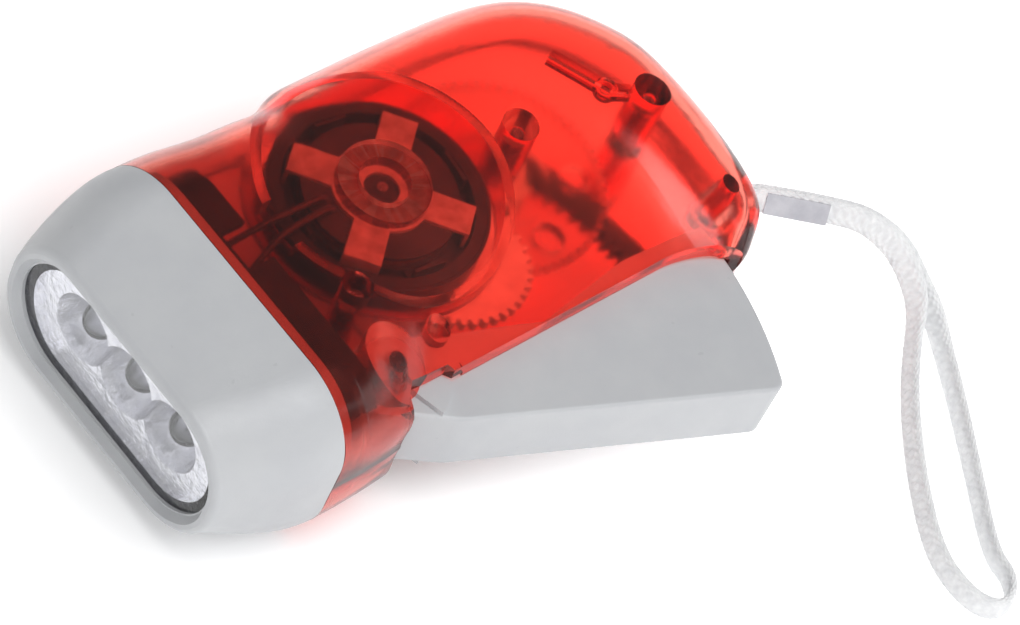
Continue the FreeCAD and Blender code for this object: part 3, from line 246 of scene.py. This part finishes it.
def noise(tree, place, scale, detail=2.0, rough=0.5, stretch=None):
    """Noise with features of about 1 / scale metres."""
    if stretch:
        place = add_node(tree, "Mapping", {"Vector": place, "Scale": stretch}).outputs["Vector"]
    sockets = {"Vector": place, "Scale": scale, "Detail": detail, "Roughness": rough}
    return add_node(tree, "TexNoise", sockets).outputs["Fac"]


def span(tree, value, low, high, to_low, to_high):
    """A value's range low to high mapped to another range, with its ends held."""
    sockets = {"Value": value, "From Min": low, "From Max": high, "To Min": to_low, "To Max": to_high}
    return add_node(tree, "MapRange", sockets).outputs["Result"]


def reckon(tree, operation, *values):
    """The result of one arithmetic step."""
    return add_node(tree, "Math", dict(enumerate(values)), operation=operation).outputs[0]


def vector_step(tree, operation, first, second, output=0):
    """The result of one step on two vectors."""
    return add_node(tree, "VectorMath", {0: first, 1: second}, operation=operation).outputs[output]


def part_of(tree, place, axis):
    """One coordinate of a place."""
    return add_node(tree, "SeparateXYZ", {0: place}).outputs[axis]


def blend_colours(tree, share, first, second):
    node = tree.nodes.new("ShaderNodeMix")
    node.data_type = "RGBA"
    for index, value in ((0, share), (6, first), (7, second)):
        socket = node.inputs[index]
        if isinstance(value, bpy.types.NodeSocket):
            tree.links.new(value, socket)
        else:
            socket.default_value = value if index == 0 else (*value, 1.0)
    return node.outputs[2]


def bump(tree, height, distance, strength=1.0, under=None):
    sockets = {"Height": height, "Distance": distance, "Strength": strength}
    if under:
        sockets["Normal"] = under
    return add_node(tree, "Bump", sockets).outputs["Normal"]


def finish_material(tree, shader):
    output = add_node(tree, "OutputMaterial")
    tree.links.new(shader, output.inputs["Surface"])


def axis_distance(tree, place, x, y):
    """Distance from an upright axis through x and y."""
    flat = vector_step(tree, "MULTIPLY", place, (1.0, 1.0, 0.0))
    return vector_step(tree, "DISTANCE", flat, (x, y, 0.0), "Value")


def bar_share(tree, place, start, end, half_width):
    """One on an upright bar from start to end, nought off it."""
    run = Vector(end) - Vector(start)
    length = run.length
    along = run / length
    moved = vector_step(tree, "SUBTRACT", place, (*start, 0.0))
    forward = vector_step(tree, "DOT_PRODUCT", moved, (*along, 0.0), "Value")
    aside = vector_step(tree, "DOT_PRODUCT", moved, (-along.y, along.x, 0.0), "Value")
    past = reckon(tree, "ABSOLUTE", reckon(tree, "SUBTRACT", forward, length / 2))
    inside = span(tree, reckon(tree, "ABSOLUTE", aside), half_width * 0.85, half_width * 1.1, 1.0, 0.0)
    within = span(tree, past, length / 2 - BAR_END_BLUR, length / 2 + BAR_END_BLUR, 1.0, 0.0)
    return reckon(tree, "MULTIPLY", inside, within)


# Look of the clear body: tints where its wall is seen edge-on, the seam, the bars drawn on its ribs, and
# painted shade that darkens it towards the head
SIDE_TINT, SIDE_REACH = (0.985, 0.17, 0.13), (0.003, 0.011)
SEAM_TINT, SEAM_REACH, SEAM_SHARE = (0.45, 0.06, 0.06), (0.0004, 0.0011), 0.75
RIB_BARS = (
    ((0.0290, 0.0184), (0.0330, 0.0097), 0.00065), ((0.0327, 0.0100), (0.0352, 0.0086), 0.00075),
)
BAR_END_BLUR = 0.0001
BAR_SHADE = 0.6
NECK_SHADE_MOTTLE = 0.004
# Painted shade on the shell: its tint darkens towards the head, fully before NECK_FROM_X and fading out by
# NECK_TO_X, down to this share of the tint
NECK_FROM_X, NECK_TO_X, NECK_SHADE_SHARE = -0.022, -0.011, 0.62
# Greatest share of pale plastic on the window's side faces, and how square to the front a face may be for it
EDGE_SHARE, EDGE_FACING = 0.8, (0.4, 0.6)


def clear_material(name, tint, rough, relief, relief_scale, tint_change=0.06, ior=1.49,
                   bars=(), pale_edge=False, neck_shade=None, seam=None, shade=1.0):
    """Clear plastic that lets shadow rays through, tinted once by each of its two faces, and darkened
    towards the head as painted shade where neck_shade is given.
    """
    material, tree, place = new_material(name)
    cloud = noise(tree, place, 60.0, 3.0)
    darker = tuple(max(0.0, c * (1 - tint_change)) for c in tint)
    colour = blend_colours(tree, span(tree, cloud, 0.35, 0.65, 0.0, 1.0), tint, darker)
    # Painted shade: the tint darkens towards the head, along a mottled edge
    if neck_shade:
        from_x, to_x, share = neck_shade
        shade_mottle = span(tree, noise(tree, place, 160.0, 3.0), 0.3, 0.7, -NECK_SHADE_MOTTLE, NECK_SHADE_MOTTLE)
        ahead = reckon(tree, "ADD", part_of(tree, place, "X"), shade_mottle)
        painted_shade = span(tree, ahead, from_x, to_x, 1.0, 0.0)
        colour = blend_colours(tree, painted_shade, colour, tuple(c * share for c in tint))
    if seam:
        off = reckon(tree, "ABSOLUTE", reckon(tree, "ADD", part_of(tree, place, "Z"), -seam))
        colour = blend_colours(tree, span(tree, off, *SIDE_REACH, 1.0, 0.0), colour, SIDE_TINT)
        colour = blend_colours(tree, span(tree, off, *SEAM_REACH, SEAM_SHARE, 0.0), colour, SEAM_TINT)
    for start, end, half_width in bars:
        share = bar_share(tree, place, start, end, half_width)
        colour = blend_colours(tree, share, colour, tuple(c ** 2 * BAR_SHADE for c in tint))
    slow = noise(tree, place, relief_scale, 2.0)
    fine = noise(tree, place, relief_scale * 14, 2.0)
    normal = bump(tree, slow, relief)
    normal = bump(tree, fine, relief * 0.08, under=normal)
    body = add_node(tree, "BsdfPrincipled", {
        "Base Color": colour, "Roughness": span(tree, fine, 0.3, 0.7, rough * 0.9, rough * 1.1),
        "IOR": ior, "Transmission Weight": 1.0, "Normal": normal,
    }).outputs[0]
    if pale_edge:
        facing = add_node(tree, "NewGeometry").outputs["True Normal"]
        forward = vector_step(tree, "DOT_PRODUCT", facing, (1.0, 0.0, 0.0), "Value")
        edge = add_node(tree, "BsdfPrincipled", {"Base Color": (0.9, 0.9, 0.92, 1.0), "Roughness": 0.4})
        share = span(tree, reckon(tree, "ABSOLUTE", forward), *EDGE_FACING, EDGE_SHARE, 0.0)
        body = add_node(tree, "MixShader", {0: share, 1: body, 2: edge.outputs[0]}).outputs[0]
    through = add_node(tree, "BsdfTransparent", {"Color": (*[math.sqrt(c) * shade for c in tint], 1.0)})
    shadow = add_node(tree, "LightPath").outputs["Is Shadow Ray"]
    mix = add_node(tree, "MixShader", {0: shadow, 1: body, 2: through.outputs[0]})
    finish_material(tree, mix.outputs[0])
    return material


SPECK_COLOUR = (0.1, 0.1, 0.11)


def solid_material(name, light, dark, rough, metal=0.0, cloud_scale=120.0, grain_scale=4000.0,
                   grain=0.00002, stretch=None, speck=0.0, rough_span=0.08, coat=0.0, sheen=0.0):
    """A plain finish with slow colour changes, a fine grain and small specks."""
    material, tree, place = new_material(name)
    cloud = noise(tree, place, cloud_scale, 4.0, 0.6)
    colour = blend_colours(tree, span(tree, cloud, 0.35, 0.65, 0.0, 1.0), light, dark)
    fine = noise(tree, place, grain_scale, 3.0, 0.6, stretch=stretch)
    if speck:
        spots = noise(tree, place, 900.0, 0.0)
        colour = blend_colours(tree, span(tree, spots, 0.86, 0.88, 0.0, speck), colour, SPECK_COLOUR)
    worn = noise(tree, place, cloud_scale * 3, 3.0, 0.7)
    wear = span(tree, worn, 0.3, 0.7, rough - rough_span, rough + rough_span)
    shader = add_node(tree, "BsdfPrincipled", {
        "Base Color": colour, "Metallic": metal, "Roughness": wear, "Coat Weight": coat,
        "Coat Roughness": 0.1, "Sheen Weight": sheen, "Normal": bump(tree, fine, grain),
    })
    finish_material(tree, shader.outputs[0])
    return material


red_clear = clear_material(
    "red_clear", (0.985, 0.238, 0.18), 0.17, 0.00008, 70.0, ior=1.42, bars=RIB_BARS,
    neck_shade=(NECK_FROM_X, NECK_TO_X, NECK_SHADE_SHARE), seam=PARTING_Z, shade=0.94,
)
lens_clear = clear_material("lens_clear", (0.97, 0.975, 0.99), 0.02, 0.00001, 140.0, 0.01, pale_edge=True)
epoxy_clear = clear_material("epoxy_clear", (0.97, 0.975, 0.985), 0.12, 0.00001, 300.0, 0.02, 1.3)
natural_nylon = clear_material("natural_nylon", (0.94, 0.92, 0.88), 0.3, 0.00002, 200.0, 0.05, 1.2)
grey_plastic = solid_material(
    "grey_plastic", (0.50, 0.51, 0.525), (0.475, 0.485, 0.505), 0.42, speck=0.1,
)
white_nylon = solid_material(
    "white_nylon", (0.78, 0.77, 0.73), (0.62, 0.6, 0.55), 0.4, cloud_scale=260.0, speck=0.2,
)
black_nylon = solid_material(
    "black_nylon", (0.045, 0.042, 0.045), (0.028, 0.026, 0.03), 0.38, cloud_scale=260.0,
)
wire_dark = solid_material("wire_dark", (0.06, 0.045, 0.045), (0.04, 0.03, 0.032), 0.45, cloud_scale=400.0)
# After the roughness: metal, scales of the clouds and the grain, depth of the grain, its stretch
steel = solid_material(
    "steel", (0.66, 0.66, 0.68), (0.5, 0.5, 0.53), 0.26, 1.0, 300.0, 5000.0, 0.00001, (1, 1, 0.08),
)
spring_steel = solid_material(
    "spring_steel", (0.5, 0.5, 0.53), (0.36, 0.36, 0.39), 0.3, 1.0, 500.0, 6000.0, 0.00001,
)
pole_steel = solid_material(
    "pole_steel", (0.66, 0.64, 0.62), (0.42, 0.4, 0.38), 0.48, 0.7, 350.0, 2500.0, 0.00003, speck=0.7,
)
# Black of the ring magnet, also used as painted shade on the far stator plate
black_magnet_and_plate_shade = solid_material(
    "black_magnet_and_plate_shade", (0.05, 0.05, 0.055), (0.03, 0.03, 0.034), 0.5, 0.3, 500.0, 7000.0, 0.00005,
)
copper = solid_material(
    "copper", (0.3, 0.11, 0.05), (0.2, 0.07, 0.035), 0.3, 0.6, 700.0, 5000.0, 0.00002, coat=0.5,
)
chrome = solid_material(
    "chrome", (0.98, 0.98, 1.0), (0.88, 0.88, 0.93), 0.22, 0.8, 700.0, 700.0, 0.0003, (0.2, 1, 1),
    rough_span=0.06,
)
board_green = solid_material(
    "board_green", (0.035, 0.17, 0.07), (0.02, 0.12, 0.05), 0.3, 0.0, 500.0, 3000.0, 0.00002, coat=0.5,
)
crimp_metal = solid_material(
    "crimp_metal", (0.64, 0.63, 0.67), (0.52, 0.515, 0.56), 0.4, 1.0, 300.0, 2600.0, 0.00001, (1, 1, 0.12),
)
braid_white = solid_material(
    "braid_white", (0.85, 0.855, 0.86), (0.74, 0.745, 0.76), 0.85, 0.0, 700.0, 9000.0, 0.00006, sheen=0.25,
)

# Band of the lever's toothed sector, as radii from the pivot and heights
RACK_TIP_R, RACK_BACK_R = 0.0454, 0.0492
RACK_LOW_Z, RACK_HIGH_Z = 0.0111, 0.0136
RACK_FROM_Y = (PIVOT[1] - 0.019, PIVOT[1] - 0.018)
# Painted shade on the toothed sector: its dark colour and greatest share
RACK_SHADE, RACK_SHADE_SHARE = (0.03, 0.028, 0.03), 0.92


def lever_material():
    """The grey plastic, with the toothed sector inside the case painted dark as its shade."""
    material = grey_plastic.copy()
    material.name = "lever_plastic"
    tree = material.node_tree
    shader = next(n for n in tree.nodes if n.type == "BSDF_PRINCIPLED")
    place = next(n for n in tree.nodes if n.type == "TEX_COORD").outputs["Object"]
    plain = shader.inputs["Base Color"].links[0].from_socket
    out = axis_distance(tree, place, *PIVOT)
    high = part_of(tree, place, "Z")
    share = span(tree, out, RACK_TIP_R - 0.0005, RACK_TIP_R, 0.0, 1.0)
    for limit in (
        span(tree, out, RACK_BACK_R, RACK_BACK_R + 0.0004, 1.0, 0.0),
        span(tree, high, RACK_HIGH_Z, RACK_HIGH_Z + 0.0001, 1.0, 0.0),
        span(tree, part_of(tree, place, "Y"), *RACK_FROM_Y, 0.0, 1.0),
        span(tree, high, RACK_LOW_Z - 0.0002, RACK_LOW_Z, 0.0, RACK_SHADE_SHARE),
    ):
        share = reckon(tree, "MULTIPLY", share, limit)
    tree.links.new(blend_colours(tree, share, plain, RACK_SHADE), shader.inputs["Base Color"])
    return material


lever_plastic = lever_material()


def dress(material, *names):
    for name in names:
        for slot in nodes[name].material_slots:
            slot.material = material


dress(red_clear, "left_shell", "right_shell")
dress(lens_clear, "lens")
dress(epoxy_clear, "leds")
dress(grey_plastic, "head_cap")
dress(lever_plastic, "lever")
dress(white_nylon, "input_pinion", "clutch_pawl", "idler_gear")
dress(natural_nylon, "drive_gear")
dress(black_nylon, "rotor_wheel", "coil_bobbin", "lamp_holder")
dress(steel, "pivot_pin", "gear_pin", "idler_pin", "rotor_axle", "case_screws")
dress(pole_steel, "stator_plate_near")
# The far stator plate takes the magnet's black as painted shade, darker than the near plate's steel
dress(black_magnet_and_plate_shade, "stator_plate_far", "ring_magnet")
dress(copper, "coil_winding")
dress(chrome, "reflector")
dress(board_green, "led_board")
dress(wire_dark, "lead_wires")
dress(crimp_metal, "strap_crimp")
strap_piece.data.materials.append(braid_white)


def make_spring():
    """The lever spring as a separate piece in spring steel, in place of the lever_spring node."""
    node = nodes["lever_spring"]
    piece = bpy.data.objects.new("spring_wire", node.data.copy())
    piece.matrix_world = node.matrix_world.copy()
    scene.collection.objects.link(piece)
    piece.data.materials.clear()
    piece.data.materials.append(spring_steel)
    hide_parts("lever_spring")
    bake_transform(piece)


make_spring()


# Floor and light: the floor's own light grows with the distance from a place under the generator
FLOOR_SHADE_AT = (-0.022, 0.012)
FLOOR_GLOW_REACH, FLOOR_GLOW = (0.012, 0.078), (0.1, 0.7)
FLOOR_HALF_SIZE = 3.0
FLOOR_DROP = 0.00002
WORLD_STRENGTH = 0.25


def make_floor():
    mesh = bpy.data.meshes.new("floor")
    build = bmesh.new()
    bmesh.ops.create_grid(build, x_segments=8, y_segments=8, size=FLOOR_HALF_SIZE)
    build.to_mesh(mesh)
    build.free()
    floor = bpy.data.objects.new("floor", mesh)
    floor.location.z = -FLOOR_DROP
    scene.collection.objects.link(floor)
    material, tree, place = new_material("floor_white")
    cloud = noise(tree, place, 3.0, 2.0)
    colour = blend_colours(tree, cloud, (0.86, 0.86, 0.865), (0.84, 0.84, 0.845))
    away = axis_distance(tree, place, *FLOOR_SHADE_AT)
    shader = add_node(tree, "BsdfPrincipled", {
        "Base Color": colour, "Roughness": 0.7, "Emission Color": (1.0, 1.0, 1.0, 1.0),
        "Emission Strength": span(tree, away, *FLOOR_GLOW_REACH, *FLOOR_GLOW),
    })
    finish_material(tree, shader.outputs[0])
    mesh.materials.append(material)


def make_light(name, place, size, power):
    """A soft box that faces the origin."""
    data = bpy.data.lights.new(name, "AREA")
    data.shape = "RECTANGLE"
    data.size, data.size_y = size
    data.energy = power
    light = bpy.data.objects.new(name, data)
    light.location = place
    light.rotation_euler = (-Vector(place)).to_track_quat("-Z", "Y").to_euler()
    scene.collection.objects.link(light)


make_floor()
make_light("top", (-0.05, -0.4, 1.35), (1.0, 1.0), 15.2)
make_light("front", (-0.6, -1.0, 0.55), (1.1, 0.8), 2.6)
make_light("rear", (1.15, -0.8, 0.5), (1.0, 0.7), 2.8)

world = bpy.data.worlds.new("studio")
world.use_nodes = True
backdrop = world.node_tree.nodes["Background"].inputs
backdrop["Color"].default_value = (1.0, 1.0, 1.0, 1.0)
backdrop["Strength"].default_value = WORLD_STRENGTH
scene.world = world
scene.view_settings.view_transform = "Standard"
